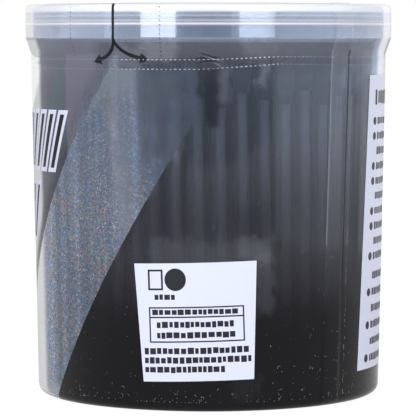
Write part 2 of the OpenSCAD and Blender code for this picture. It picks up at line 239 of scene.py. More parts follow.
# Haze across the overlap, the pearly film's hues, and the silver ink's grains and cover,
# as stops of a ramp from 0 to 1
OVERLAP_HAZE = ((0, 0), (0.12, 0), (0.13, 0.05), (0.3, 0.035), (0.8, 0.008), (0.88, 0))
PEARL = ((0, (0.098, 0.132, 0.15)), (0.5, (0.114, 0.12, 0.155)), (1, (0.13, 0.108, 0.165)))
GLITTER = ((0, (0.02, 0.07, 0.18)), (0.13, (0.03, 0.15, 0.27)), (0.22, (0.04, 0.05, 0.09)),
           (0.42, (0.065, 0.075, 0.12)), (0.5, (0.15, 0.11, 0.09)), (0.64, (0.2, 0.15, 0.12)),
           (0.7, (0.1, 0.065, 0.16)), (0.8, (0.05, 0.15, 0.165)), (0.9, (0.17, 0.18, 0.2)),
           (0.97, (0.27, 0.28, 0.3)))
SILVER_COVER = ((0, 0.26), (0.35, 0.45), (0.7, 0.85), (1, 0.95))

# The height at the top of the film's colour ramps, the heights in mm between which its
# look changes from wall to lid, and how much film, tub and lid mirror
RAMP_TOP = 87.5 * MM
LID_START = (79.2, 79.4)
FILM_IOR = 1.33
INSIDE_IOR = 1.3
TUB_IOR = 1.5
LID_IOR = 1.6

# How slanted a wall must be seen for its bright edge to start and to be full
EDGE_START = 0.66
EDGE_FULL = 0.73

# Colours that more than one material has
PLASTIC_MILK = (0.8, 0.84, 0.9)
WHITE = (1, 1, 1)

# The photograph's camera, fitted to the lid and foot outlines
CAMERA_PLACE = (-0.0001, -0.5949, 0.07986)
CAMERA_PITCH = 3.73
CAMERA_LENS = 228.9

# The studio: name, turn, distance, low edge, width, height, power or brightness
SOFTBOXES = (("left_softbox", -30.6, 1.2, 0.05, 0.46, 0.85, 7.5),
             ("right_softbox", 29.5, 1.2, 0.05, 0.46, 0.85, 6.0))
GLOSS_CARDS = (("left_box_shine", -30.6, 1.2, 0.05, 0.46, 0.36, 7.0),
               ("right_box_shine", 29.5, 1.2, 0.05, 0.46, 0.36, 4.0),
               ("camera_shade", 1.5, 0.6, 0.023, 0.08, 0.25, 0.02),
               ("dark_room", -3, 0.61, 0.05, 0.36, 0.3, 0.15),
               ("table_edge", -1, 0.62, 0, 1.1, 0.05, 0.35),
               ("left_reflector", -78, 0.33, 0, 0.26, 0.5, 1.7),
               ("right_reflector", 71, 0.33, 0, 0.37, 0.5, 1.25),
               ("right_wall", 132, 0.33, 0, 0.25, 0.5, 1.2),
               ("left_strip", -60, 0.32, 0, 0.035, 0.5, 2.8))


# Meshes

def add_mesh(name, verts, faces):
    """A new smooth mesh object in the scene."""
    mesh = bpy.data.meshes.new(name)
    mesh.from_pydata([tuple(v) for v in verts], [], faces)
    mesh.validate()
    mesh.update()
    mesh.polygons.foreach_set("use_smooth", [True] * len(mesh.polygons))
    piece = bpy.data.objects.new(name, mesh)
    bpy.context.scene.collection.objects.link(piece)
    return piece


def grid_faces(rows, columns, closed=False):
    """Quads between rows of vertices; closed joins the last column to the first."""
    faces = []
    for i in range(rows - 1):
        for j in range(columns if closed else columns - 1):
            k = (j + 1) % columns
            faces.append((i * columns + j, i * columns + k,
                          (i + 1) * columns + k, (i + 1) * columns + j))
    return faces


def dress(piece, slot, *materials, replaces=()):
    """Gives a new piece its body and its materials, and hides the imported parts it stands for.
    slot is not used.
    """
    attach(piece, "root")
    for material in materials:
        piece.data.materials.append(material)
    if replaces:
        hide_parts(*replaces)


# The film's shape

def wall_radius(z):
    """Outer radius of the tub's wall at height z."""
    return FOOT_R + z * math.tan(DRAFT)


def film_radius(z, out=FILM_OUT):
    """Radius at height z, at the distance out from lid and tub."""
    shoulder = LID_TOP - LID_ROUND
    corner_z = BASE_STEP + CORNER_R
    if z > shoulder:
        rise = min(z - shoulder, (LID_ROUND + out) * 0.999)
        return LID_R - LID_ROUND + math.sqrt((LID_ROUND + out) ** 2 - rise ** 2)
    if z > SKIRT_Z:
        return LID_R + out
    if z > NECK_Z:
        share = (SKIRT_Z - z) / (SKIRT_Z - NECK_Z)
        return (LID_R + out) * (1 - share) + (wall_radius(NECK_Z) + out) * share
    if z > corner_z:
        return wall_radius(z) + out
    drop = min(corner_z - z, CORNER_R + out)
    return wall_radius(corner_z) - CORNER_R + math.sqrt((CORNER_R + out) ** 2 - drop ** 2)


def arc_points(centre, radius, start, end):
    """Points of an arc in the (radius, height) plane, from one angle to another."""
    angles = [start + (end - start) * i / ARC_STEPS for i in range(ARC_STEPS + 1)]
    return [(centre[0] + radius * math.cos(math.radians(a)),
             centre[1] + radius * math.sin(math.radians(a))) for a in angles]


def film_outline(out):
    """The film's outline from the top panel over the lid's edge and down to the foot."""
    edge_in = LID_R - EDGE_W
    panel_top = LID_TOP - EDGE_H
    corner_z = BASE_STEP + CORNER_R
    corners = [(edge_in - FILM_TOP_W, panel_top + out), (edge_in - FILM_DROP_W, panel_top + out),
               (edge_in, LID_TOP + out)]
    corners += arc_points((LID_R - LID_ROUND, LID_TOP - LID_ROUND), LID_ROUND + out, 90, 0)
    corners += [(LID_R + out, SKIRT_Z + CORNER_STEP), (LID_R + out, SKIRT_Z)]
    corners += [(film_radius(SKIRT_Z - CORNER_STEP, out), SKIRT_Z - CORNER_STEP)]
    corners += [(wall_radius(NECK_Z) + out, NECK_Z)]
    corners += arc_points((wall_radius(corner_z) - CORNER_R, corner_z), CORNER_R + out, 0, -90)
    corners += [(FOOT_RING_R + FILM_GAP, BASE_STEP - out)]
    outline = [corners[0]]
    for a, b in zip(corners, corners[1:]):
        steps = max(1, round(math.dist(a, b) / PROFILE_STEP))
        outline += [(a[0] + (b[0] - a[0]) * i / steps, a[1] + (b[1] - a[1]) * i / steps)
                    for i in range(1, steps + 1)]
    return outline


def place(turn, radius, z):
    """A point at a turn in degrees, a radius and a height."""
    angle = math.radians(turn)
    return Vector((radius * math.sin(angle), -radius * math.cos(angle), z))


def bump(x, width):
    """A soft bump that is 1 at x = 0 and has gone at the given width."""
    return max(0.0, 1 - (x / width) ** 2) ** 2


def rise_between(x, low, high):
    """0 up to low, 1 from high on, and a straight rise between them."""
    return min(1.0, max(0.0, (x - low) / (high - low)))


def ripple(turn, z):
    """How far the film stands off the smooth shape: slack from the shrinking."""
    on_wall = rise_between(SKIRT_Z - z, 1 * MM, 6 * MM) * rise_between(z, 4 * MM, 10 * MM)
    spot = place(turn, 1.0, z * SLACK_RISE)
    slack = SLACK_H * (0.5 + 0.5 * noise.noise(spot * SLACK_FINENESS)) * on_wall
    pucker = PUCKER_H * bump(turn - PUCKER_TURN, PUCKER_REACH) * bump(z - PUCKER_Z, PUCKER_L)
    crease = CREASE_H * bump(z - CREASE_Z, CREASE_L) * on_wall
    seam = FILM_T * rise_between(SEAM_HALF - abs(turn - SEAM_TURN), -SEAM_EDGE, SEAM_EDGE)
    over_foot = rise_between(z, BASE_STEP, BASE_STEP + CORNER_R)
    return slack + pucker + crease + seam * over_foot


def seam_lean(z):
    """How far the overlap leans away from its upright, in degrees of turn."""
    return SEAM_LEAN * (1 - z / SKIRT_Z) if z < SKIRT_Z else 0.0


def leant(turn, z):
    """How many degrees the film at a turn leans with the overlap."""
    return seam_lean(z) * bump(turn - SEAM_TURN, SEAM_LEAN_REACH)


# The rows of the film's mesh, and those of them from the lid's edge down, which carry print
film_rows = film_outline(FILM_OUT)
wall_start = max(i for i, (_, z) in enumerate(film_rows) if z >= LID_TOP + FILM_OUT * 0.99)
wall_depths = [-z for _, z in film_rows[wall_start:]]


def film_point(turn, i, lift):
    """Radius and height of the film's row i at a turn, with the slack and a lift."""
    r, z = film_rows[i]
    before, after = film_rows[max(i - 1, 0)], film_rows[min(i + 1, len(film_rows) - 1)]
    run, rise = after[0] - before[0], after[1] - before[1]
    off = (ripple(turn, z) + lift) / math.hypot(run, rise)
    return r - rise * off, z + run * off


def on_film(turn, z, lift):
    """A point on the film's outside at a turn and a height, raised by lift.

    It lies between two rows of the film's mesh, so that a print never dips under it.
    """
    flat_turn = turn - leant(turn, z)
    i = wall_start + max(1, bisect.bisect_left(wall_depths, -z)) - 1
    i = min(i, len(film_rows) - 2)
    (r0, z0), (r1, z1) = film_point(flat_turn, i, lift), film_point(flat_turn, i + 1, lift)
    share = (film_rows[i][1] - z) / (film_rows[i][1] - film_rows[i + 1][1])
    return place(turn, r0 + (r1 - r0) * share, z0 + (z1 - z0) * share)


def film_turns():
    """Turns of the film's columns: even steps, with pairs at the overlap's two edges."""
    turns = [360 * i / TURN_STEPS - 180 for i in range(TURN_STEPS)]
    for edge in (SEAM_TURN - SEAM_HALF, SEAM_TURN + SEAM_HALF):
        turns += [edge - SEAM_EDGE, edge + SEAM_EDGE]
    return sorted(turns)


def film_sheet(ink, clear):
    """The shrink film: one sheet over lid, wall and foot edge, with its true thickness."""
    turns = film_turns()
    verts = []
    for i, (_, z) in enumerate(film_rows):
        for turn in turns:
            verts.append(place(turn + leant(turn, z), *film_point(turn, i, 0)))
    faces = grid_faces(len(film_rows), len(turns), closed=True)
    film = add_mesh("shrink_film_sheet", verts, [f[::-1] for f in faces])
    wall = film.modifiers.new("thickness", "SOLIDIFY")
    wall.thickness = FILM_T
    wall.offset = -1
    wall.material_offset = 1
    wall.material_offset_rim = 1
    dress(film, "film_smoke", ink, clear, replaces=["shrink_film"])


# The print, draped over the film

class Drape:
    """Flat shapes in mm that are laid on the film as one thin sheet of ink or painted light or
    shade.

    A sheet is (turn, height in mm, slope): where the flat shapes' origin is and how far
    they are turned on the wall.
    """

    def __init__(self, lift):
        self.lift = lift
        self.verts = []
        self.faces = []

    def lay(self, sheet, x, y):
        """The point on the film where a flat point of the sheet comes to lie."""
        turn, base, slope = sheet
        a = math.radians(slope)
        across = (x * math.cos(a) - y * math.sin(a)) * MM
        z = (base + x * math.sin(a) + y * math.cos(a)) * MM
        around = math.degrees(math.asin(across / film_radius(min(z, NECK_Z))))
        return on_film(turn + around, z, self.lift)

    def grid(self, rows):
        """Rows of points of equal length, joined into quads."""
        start = len(self.verts)
        for row in rows:
            self.verts += row
        width = len(rows[0])
        self.faces += [tuple(start + k for k in face) for face in grid_faces(len(rows), width)]

    def quad(self, sheet, low_left, low_right, top_right, top_left):
        """A four-cornered field, split finely enough to follow the film."""
        wide = max(math.dist(low_left, low_right), math.dist(top_left, top_right))
        high = max(math.dist(low_left, top_left), math.dist(low_right, top_right))
        nx = max(1, math.ceil(wide * MM / PRINT_STEP))
        ny = max(1, math.ceil(high * MM / PRINT_STEP))
        rows = []
        for i in range(ny + 1):
            v = i / ny
            left = [a + (b - a) * v for a, b in zip(low_left, top_left)]
            right = [a + (b - a) * v for a, b in zip(low_right, top_right)]
            rows.append([self.lay(sheet, left[0] + (right[0] - left[0]) * j / nx,
                                  left[1] + (right[1] - left[1]) * j / nx)
                         for j in range(nx + 1)])
        self.grid(rows)

    def bar(self, sheet, x, y, w, h):
        """A bar from x to the right, with its middle at the height y."""
        low, high = y - h / 2, y + h / 2
        self.quad(sheet, (x, low), (x + w, low), (x + w, high), (x, high))

    def box(self, sheet, x, y, w, h, line):
        """An open box of thin lines with its lower left corner at x, y."""
        self.bar(sheet, x, y + line / 2, w, line)
        self.bar(sheet, x, y + h - line / 2, w, line)
        for left in (x, x + w - line):
            self.bar(sheet, left, y + h / 2, line, h - 2 * line)

    def spot(self, sheet, x, y, d, tall=1.0, rings=3, step=15):
        """A round spot, or an oval one when tall is not 1."""
        rows = []
        for i in range(rings + 1):
            r = d / 2 * i / rings
            rows.append([self.lay(sheet, x + r * math.sin(math.radians(a)),
                                  y + tall * r * math.cos(math.radians(a)))
                         for a in range(0, 361, step)])
        self.grid(rows)

    def ribbon(self, sheet, path):
        """A line through (x, y, width) points."""
        rows = []
        for i, (x, y, width) in enumerate(path):
            before, after = path[max(i - 1, 0)], path[min(i + 1, len(path) - 1)]
            run, rise = after[0] - before[0], after[1] - before[1]
            length = math.hypot(run, rise)
            dx, dy = -rise / length * width / 2, run / length * width / 2
            rows.append([self.lay(sheet, x + dx, y + dy), self.lay(sheet, x, y),
                         self.lay(sheet, x - dx, y - dy)])
        self.grid(rows)

    def stroke(self, sheet, inset):
        """A leaning stroke with level ends, made smaller by inset all round."""
        lean = math.radians(STROKE_LEAN)
        half = STROKE_W / 2 - inset / math.cos(lean)
        low, high = inset * math.tan(lean), (STROKE_L - inset) * math.tan(lean)
        self.quad(sheet, (low - half, inset), (low + half, inset),
                  (high + half, STROKE_L - inset), (high - half, STROKE_L - inset))

    def make(self, name, slot, material, replaces=()):
        """Makes one piece of all that was laid."""
        dress(add_mesh(name, self.verts, self.faces), slot, material, replaces=replaces)


def band_heights():
    """Heights in mm of the band's rows, closer round the tub's lower corner."""
    top, knee = BAND_TOP / MM, BAND_KNEE / MM
    heights = [0.08, 0.14, 0.24, 0.4, 0.65, 1.0, 1.45, 2.0]
    left = top - heights[-1]
    steps = math.ceil(left)
    heights += [heights[-1] + left * i / steps for i in range(1, steps + 1)]
    return [z for z in heights if z < knee] + [knee] + [z for z in heights if z > knee]


def silver_band(material):
    """The silver band, between two edges that climb round the wall."""
    drape = Drape(INK_LIFT)
    rows = []
    for height in band_heights():
        z = height * MM
        right = BAND_RIGHT - max(0, 1 - z / BAND_KNEE) * BAND_RIGHT_FALL
        left = BAND_LEFT - (1 - z / BAND_TOP) * BAND_LEFT_FALL
        rows.append([on_film(left + (right - left) * i / BAND_COLUMNS, z, INK_LIFT)
                     for i in range(BAND_COLUMNS + 1)])
    drape.grid(rows)
    drape.make("silver_band_ink", "ink_silver", material, ["silver_band"])


def stroke_sheets():
    """Where the leaning strokes stand: an upper row and a shorter one under it."""
    upper = SKIRT_Z / MM - STROKE_DROP - STROKE_L
    lower = upper - STROKE_ROW_GAP - STROKE_L
    return [(STROKE_FIRST - STROKE_PITCH * i, height, 0)
            for height, first in ((upper, 0), (lower, LOWER_ROW_START))
            for i in range(first, STROKE_COUNT)]


def white_print(material):
    """The two white panels and the strokes' outlines."""
    drape = Drape(INK_LIFT)
    low, top, half = FRONT_LOW_W / 2, FRONT_TOP_W / 2, SIDE_W / 2
    drape.quad(FRONT_SHEET, (-low, 0), (low, 0), (top, FRONT_H), (-top, FRONT_H))
    drape.quad(SIDE_SHEET, (-half, 0), (half, 0), (half + SIDE_SHIFT, SIDE_H),
               (SIDE_SHIFT - half, SIDE_H))
    for sheet in stroke_sheets():
        drape.stroke(sheet, 0)
    drape.make("white_print_ink", "ink_white", material, ["white_print"])


def words(drape, sheet, x, y, w, h, source):
    """A bar broken into short blocks of uneven length, as a line of print looks."""
    end = x + w
    while x < end - 0.5:
        block = min(source.uniform(0.7, 1.35), end - x)
        tall = source.uniform(0.8, 1.0) * h
        drape.bar(sheet, x, y + source.uniform(-0.06, 0.06), block, tall)
        x += block + source.uniform(0.18, 0.34)


def side_line(drape, y, short, source):
    """A line of the side panel; a short one has no dot at its head."""
    x = MARGIN_W - SIDE_W / 2 + SIDE_SHIFT * y / SIDE_H
    full = SIDE_W - 2 * MARGIN_W - INDENT
    words(drape, SIDE_SHEET, x + INDENT, y, full * 0.6 if short else full, 1.7, source)
    if not short:
        drape.spot(SIDE_SHEET, x + 0.8, y, 1.8)


def small_print(material):
    """The small print of both panels, as plain blocks, boxes and spots."""
    drape = Drape(OVER_LIFT)
    source = random.Random(4)
    drape.box(FRONT_SHEET, TABLE_LEFT, 19.5, 3.2, 4.4, 0.4)
    drape.spot(FRONT_SHEET, -4.25, 21.7, 4.6, 1.05)
    drape.box(FRONT_SHEET, TABLE_LEFT, 8.3, TABLE_W, 7.6, TABLE_LINE)
    drape.bar(FRONT_SHEET, TABLE_LEFT, 13.7, TABLE_W, TABLE_LINE)
    for x, y, width, height in FRONT_LINES:
        words(drape, FRONT_SHEET, x, y, width, height, source)
    head_x, head_y = SIDE_SHIFT - SIDE_W / 2, SIDE_H - 4.9
    drape.bar(SIDE_SHEET, head_x + 3.2, head_y, 1.2, 3.3)
    words(drape, SIDE_SHEET, head_x + 5.2, head_y, 20, 3.2, source)
    for i in range(SIDE_LIST_LINES):
        side_line(drape, SIDE_H - SIDE_LIST_DROP - SIDE_LIST_PITCH * i, i % 3 == 2, source)
    for i in range(SIDE_END_LINES):
        side_line(drape, SIDE_H - SIDE_END_DROP - SIDE_END_PITCH * i, i % 2 == 0, source)
    drape.make("small_print_ink", "ink_black", material, ["black_print"])


def mark_arm(drape, sheet, across, down):
    """A curved arm of the tear mark that thickens towards its arrow head."""
    arm = []
    for i in range(MARK_ARM_STEPS + 1):
        share = i / MARK_ARM_STEPS
        a = MARK_ARM_ANGLE * share
        arm.append((across * (1 - math.cos(a)) / (1 - math.cos(MARK_ARM_ANGLE)),
                    down * math.sin(a) / math.sin(MARK_ARM_ANGLE),
                    MARK_W * (1 + MARK_SWELL * share)))
    drape.ribbon(sheet, arm)
    run, rise = arm[-1][0] - arm[-2][0], arm[-1][1] - arm[-2][1]
    length = math.hypot(run, rise)
    drape.ribbon(sheet, [(across + run / length * d, down + rise / length * d, w)
                         for d, w in MARK_HEAD])


def black_print(material):
    """The tear mark, as the shrinking pulled it, and the strokes' cores."""
    drape = Drape(OVER_LIFT)
    for sheet in stroke_sheets():
        drape.stroke(sheet, STROKE_LINE)
    sheet = (MARK_TURN, SKIRT_Z / MM, 0)
    top = (LID_TOP - SKIRT_Z) / MM
    drops = [0, 0.05, 0.12, 0.22, 0.35, 0.55, 0.8] + [1.1 + 0.5 * i for i in range(12)]
    drape.ribbon(sheet, [(0, top - drop, MARK_W) for drop in drops] + [(0, 0, MARK_W)])
    for across, down in MARK_ARMS:
        mark_arm(drape, sheet, across, down)
    drape.make("black_print_ink", "ink_black", material, ["black_print"])


def between(stops, x):
    """The value at x on the line through the (x, value) stops."""
    for (x0, y0), (x1, y1) in zip(stops, stops[1:]):
        if x <= x1:
            return y0 + (y1 - y0) * max(0.0, x - x0) / (x1 - x0)
    return stops[-1][1]


def perforations(light, dark):
    """The tear strip's two rows of slits in painted highlight, and two upright rows of holes over
    them in painted shade.
    """
    slits = Drape(TOP_LIFT)
    source = random.Random(9)
    for row in SLIT_ROWS:
        for i in range(SLIT_COUNT):
            turn = -180 + 360 / SLIT_COUNT * i
            if abs(turn - SEAM_TURN) < 3:
                continue
            length = source.uniform(0.3, 0.55)
            width = between(SLIT_WIDTHS, turn) * source.uniform(0.8, 1.2)
            slits.bar((turn, between(row, turn), 0), -length / 2, 0, length, width)
    slits.make("tear_strip_slits", "film_smoke", light)
    holes = Drape(TOP_LIFT)
    for turn in HOLE_TURNS:
        for i in range(HOLE_COUNT):
            size = source.uniform(0.2, 0.34)
            holes.spot((turn, HOLE_LOW + HOLE_PITCH * i, 0), 0, 0, size)
    holes.make("upright_slits", "film_smoke", dark)


def seam_lines(light, dark):
    """The overlap's edge in painted highlight, its inner edge in painted shadow and the scuffed
    glue line beside it.
    """
    heights = [2.4 + 1.2 * i for i in range(63)]
    for name, start, end, low, material in (
            ("overlap_edge_highlight", -SEAM_HALF, 0.4 - SEAM_HALF, 34, light),
            ("overlap_shade", SEAM_HALF + 0.1, SEAM_HALF + 0.8, 20, dark)):
        line = Drape(TOP_LIFT)
        rows = []
        for z in [h * MM for h in heights if h > low]:
            middle = SEAM_TURN + seam_lean(z)
            rows.append([on_film(middle + start, z, TOP_LIFT), on_film(middle + end, z, TOP_LIFT)])
        line.grid(rows)
        line.make(name, "film_smoke", material)
    scuff = Drape(TOP_LIFT)
    source = random.Random(5)
    for height in heights:
        z = height * MM
        turn = SEAM_TURN + seam_lean(z) + SEAM_HALF + 2.5 + source.uniform(-0.12, 0.12)
        if source.random() < 0.85:
            length = source.uniform(0.4, 1.2) * MM
            width = source.uniform(0.06, 0.24)
            scuff.grid([[on_film(turn - width, z, TOP_LIFT), on_film(turn + width, z, TOP_LIFT)],
                        [on_film(turn - width * 0.7, z + length, TOP_LIFT),
                         on_film(turn + width * 0.6, z + length, TOP_LIFT)]])
    scuff.make("overlap_scuffs", "film_smoke", light)


def fold(path):
    """A path of a fold in fine steps, as (x, y, width) points with thin ends."""
    last = FOLD_STEPS * (len(path) - 1)
    fine = []
    for i in range(last + 1):
        k = min(i // FOLD_STEPS, len(path) - 2)
        share = i / FOLD_STEPS - k
        x, y = (a + (b - a) * share for a, b in zip(path[k], path[k + 1]))
        fine.append((x, y, FOLD_W * min(1.0, 0.1 + min(i, last - i) / 8)))
    return fine


def wrinkles(light, dark):
    """The film's pucker over the middle of the tear strip, as dark and lit folds."""
    sheet = (PUCKER_TURN, PUCKER_Z / MM, 0)
    for name, material, paths in (("pucker_shade", dark, SHADE_FOLDS),
                                  ("pucker_shine", light, SHINE_FOLDS)):
        drape = Drape(TOP_LIFT)
        for path in paths:
            drape.ribbon(sheet, fold(path))
        drape.make(name, "film_smoke", material)


def over_panel(turn, height):
    """Whether a place is on a white panel, where pale dust doesn't show."""
    return any(first < turn < last and low < height < high
               for first, last, low, high in PANEL_PLACES)


def dust(material):
    """Specks of dust and short fibres that cling to the film, thicker near the foot."""
    drape = Drape(TOP_LIFT)
    source = random.Random(21)
    for _ in range(SPECKS):
        turn = source.uniform(-180, 180)
        height = 2.2 + 70 * source.random() ** 3
        size, stretch = source.uniform(0.05, 0.19), source.uniform(0.6, 1.5)
        if not over_panel(turn, height):
            drape.spot((turn, height, 0), 0, 0, size, stretch, rings=1, step=45)
    for _ in range(FIBRES):
        turn, height = source.uniform(-180, 180), 3 + 60 * source.random() ** 2.5
        heading, curl = source.uniform(0, 360), source.uniform(-45, 45)
        x = y = 0.0
        path = [(x, y, FIBRE_W)]
        for _ in range(FIBRE_STEPS):
            x += FIBRE_STEP * math.cos(math.radians(heading))
            y += FIBRE_STEP * math.sin(math.radians(heading))
            path.append((x, y, FIBRE_W))
            heading += curl * source.uniform(0.5, 1.5)
        if not over_panel(turn, height):
            drape.ribbon((turn, height, 0), path)
    drape.make("dust", "film_smoke", material)


# Node building

class Tree:
    """A material's or the world's nodes, added by short calls that return a socket."""

    def __init__(self, owner):
        owner.use_nodes = True
        self.tree = owner.node_tree
        self.tree.nodes.clear()

    def put(self, value, socket):
        """Links or sets an input. A colour is three numbers."""
        if isinstance(value, bpy.types.NodeSocket):
            self.tree.links.new(value, socket)
        else:
            socket.default_value = (*value, 1) if socket.type == "RGBA" else value

    def add(self, kind, inputs=None, out=0, **props):
        made = self.tree.nodes.new(kind)
        for key, value in props.items():
            setattr(made, key, value)
        for key, value in (inputs or {}).items():
            self.put(value, made.inputs[key])
        return made.outputs[out]

    def math(self, operation, *values, clamp=False):
        return self.add("ShaderNodeMath", dict(enumerate(values)), operation=operation,
                        use_clamp=clamp)

    def product(self, first, *others):
        for value in others:
            first = self.math("MULTIPLY", first, value)
        return first

    def ramp(self, value, stops, interpolation="LINEAR"):
        """A colour ramp through (place, colour) stops; a grey stop may be one number."""
        made = self.add("ShaderNodeValToRGB", {"Fac": value}).node
        band = made.color_ramp
        band.interpolation = interpolation
        while len(band.elements) < len(stops):
            band.elements.new(1.0)
        for element, (at, colour) in zip(band.elements, stops):
            element.position = at
            element.color = (*colour, 1) if isinstance(colour, tuple) else (*[colour] * 3, 1)
        return made.outputs["Color"]

    def height_ramp(self, z, stops):
        """A colour ramp through (height in mm, colour) stops."""
        return self.ramp(self.span(z, 0.0, RAMP_TOP), [(h * MM / RAMP_TOP, c) for h, c in stops])

    def span(self, value, low, high, to_low=0.0, to_high=1.0, smooth=False):
        """value mapped from one span to another and held at its ends."""
        return self.add("ShaderNodeMapRange", {"Value": value, "From Min": low, "From Max": high,
                                               "To Min": to_low, "To Max": to_high},
                        interpolation_type="SMOOTHSTEP" if smooth else "LINEAR")

    def by_height(self, z, low, high, to_low=0.0, to_high=1.0, smooth=False):
        """As span, between two heights in mm."""
        return self.span(z, low * MM, high * MM, to_low, to_high, smooth)

    def mix(self, share, a, b):
        made = self.add("ShaderNodeMix", data_type="RGBA").node
        for key, value in (("Factor", share), ("A", a), ("B", b)):
            self.put(value, [s for s in made.inputs if s.name == key and s.enabled][0])
        return [s for s in made.outputs if s.enabled][0]

    def scaled(self, colour, by):
        return self.add("ShaderNodeVectorMath", {0: colour, "Scale": by}, operation="SCALE")

    def soft_noise(self, spot, scale, detail, **inputs):
        return self.add("ShaderNodeTexNoise", {"Vector": spot, "Scale": scale, "Detail": detail,
                                               **inputs})

    def relief(self, height, strength, distance):
        """A normal that is tilted by a pattern of heights up to distance, in metres."""
        return self.add("ShaderNodeBump", {"Strength": strength, "Distance": distance,
                                           "Height": height})

    def see_through(self, tint):
        return self.add("ShaderNodeBsdfTransparent", {"Color": tint})

    def matt(self, colour):
        return self.add("ShaderNodeBsdfDiffuse", {"Color": colour})

    def shaders(self, share, a, b):
        return self.add("ShaderNodeMixShader", {0: share, 1: a, 2: b})

    def spot(self):
        """The surface point in the frame's axes."""
        return self.add("ShaderNodeTexCoord", out="Object")

    def turn_and_height(self):
        """The surface point's turn in degrees, its height in metres and the point itself."""
        spot = self.spot()
        x, y, z = self.add("ShaderNodeSeparateXYZ", {0: spot}).node.outputs
        angle = self.math("ARCTAN2", x, self.math("MULTIPLY", y, -1.0))
        return self.math("DEGREES", angle), z, spot

    def patch(self, turn, z, first, last, low, high, soft=1.1):
        """1 inside a span of turns and of heights in mm, and softly 0 outside it."""
        return self.product(self.span(turn, first - soft, first + soft),
                            self.span(turn, last - soft, last + soft, 1, 0),
                            self.by_height(z, low - soft, low + soft),
                            self.by_height(z, high - soft, high + soft, 1, 0))

    def surface(self, shader, kind="ShaderNodeOutputMaterial"):
        end = self.tree.nodes.new(kind)
        self.tree.links.new(shader, end.inputs["Surface"])


def new_material(name):
    material = bpy.data.materials.new(name)
    return material, Tree(material)


def glossed(t, under, ior, roughness, normal=None, edge=0.0):
    """A shader under a clear gloss that mirrors more at a slant, the same on both sides.

    edge is how much more a curved wall mirrors where it is seen along its surface.
    """
    extra = {"Normal": normal} if normal is not None else {}
    behind = t.add("ShaderNodeNewGeometry").node.outputs["Backfacing"]
    inverse = t.math("DIVIDE", 1.0, ior)
    both = t.add("ShaderNodeMix", {"Factor": behind, "A": ior, "B": inverse}, data_type="FLOAT")
    share = t.add("ShaderNodeFresnel", {"IOR": both, **extra})
    if edge != 0.0:
        facing = t.add("ShaderNodeLayerWeight", {"Blend": 0.5, **extra}, out="Facing")
        share = t.math("MAXIMUM", share, t.span(facing, EDGE_START, EDGE_FULL, 0.0, edge))
    gloss = t.add("ShaderNodeBsdfGlossy", {"Color": WHITE, "Roughness": roughness, **extra})
    return t.shaders(share, under, gloss)


# Materials

def clear_plastic(name, tint, milk, ior, edge=0.0):
    """Clear moulded plastic, with a little milkiness and faint flow marks."""
    material, t = new_material(name)
    flow = t.soft_noise(t.spot(), 90.0, 2.0)
    haze = t.span(flow, 0.3, 0.7, milk * 0.6, milk * 1.4)
    body = t.shaders(haze, t.see_through(tint), t.matt(PLASTIC_MILK))
    t.surface(glossed(t, body, ior, 0.04, t.relief(flow, 0.06, 0.4 * MM), edge))
    return material


def film_haze_and_highlights(t, turn, z, loose_turn, loose_z):
    """How hazy the film is: in patches, partly painted highlights, over the overlap, and over the
    lid seen at a slant.
    """
    haze = 0.0
    for amount, *spans in HAZE_AND_HIGHLIGHT_PATCHES:
        haze = t.math("ADD", haze, t.product(t.patch(loose_turn, loose_z, *spans), amount))
    across = t.math("SUBTRACT", turn, t.span(z, 0.0, SKIRT_Z, SEAM_TURN + SEAM_LEAN, SEAM_TURN))
    overlap = t.ramp(t.span(across, -5.0, 5.0), OVERLAP_HAZE)
    haze = t.math("ADD", haze, t.product(overlap, t.by_height(z, 20, 50)))
    slant = t.add("ShaderNodeLayerWeight", {"Blend": 0.5}, out="Facing")
    over_lid = t.product(t.by_height(z, *LID_START), t.by_height(z, 84, 85, 1, 0))
    return t.math("ADD", haze, t.product(over_lid, t.span(slant, 0.1, 0.7, 0.0, 0.27)))


def pearly_film(t, turn, z, long_spot):
    """The pearly film left of the silver band: how strong it is there, and its shader."""
    past_band = t.math("SUBTRACT", turn, t.span(z, 0.0, BAND_TOP, BAND_LEFT - BAND_LEFT_FALL,
                                                BAND_LEFT))
    share = t.product(t.span(past_band, -8.0, 0.0, 1, 0, smooth=True),
                      t.by_height(z, 78.8, 79.2, 1, 0),
                      t.span(turn, -165.0, -125.0, smooth=True))
    wave = t.soft_noise(long_spot, 150.0, 1.0)
    pearl = t.ramp(t.span(wave, 0.2, 0.8), PEARL)
    return share, t.matt(t.scaled(pearl, t.by_height(z, 66, 79, 1.0, 1.45)))


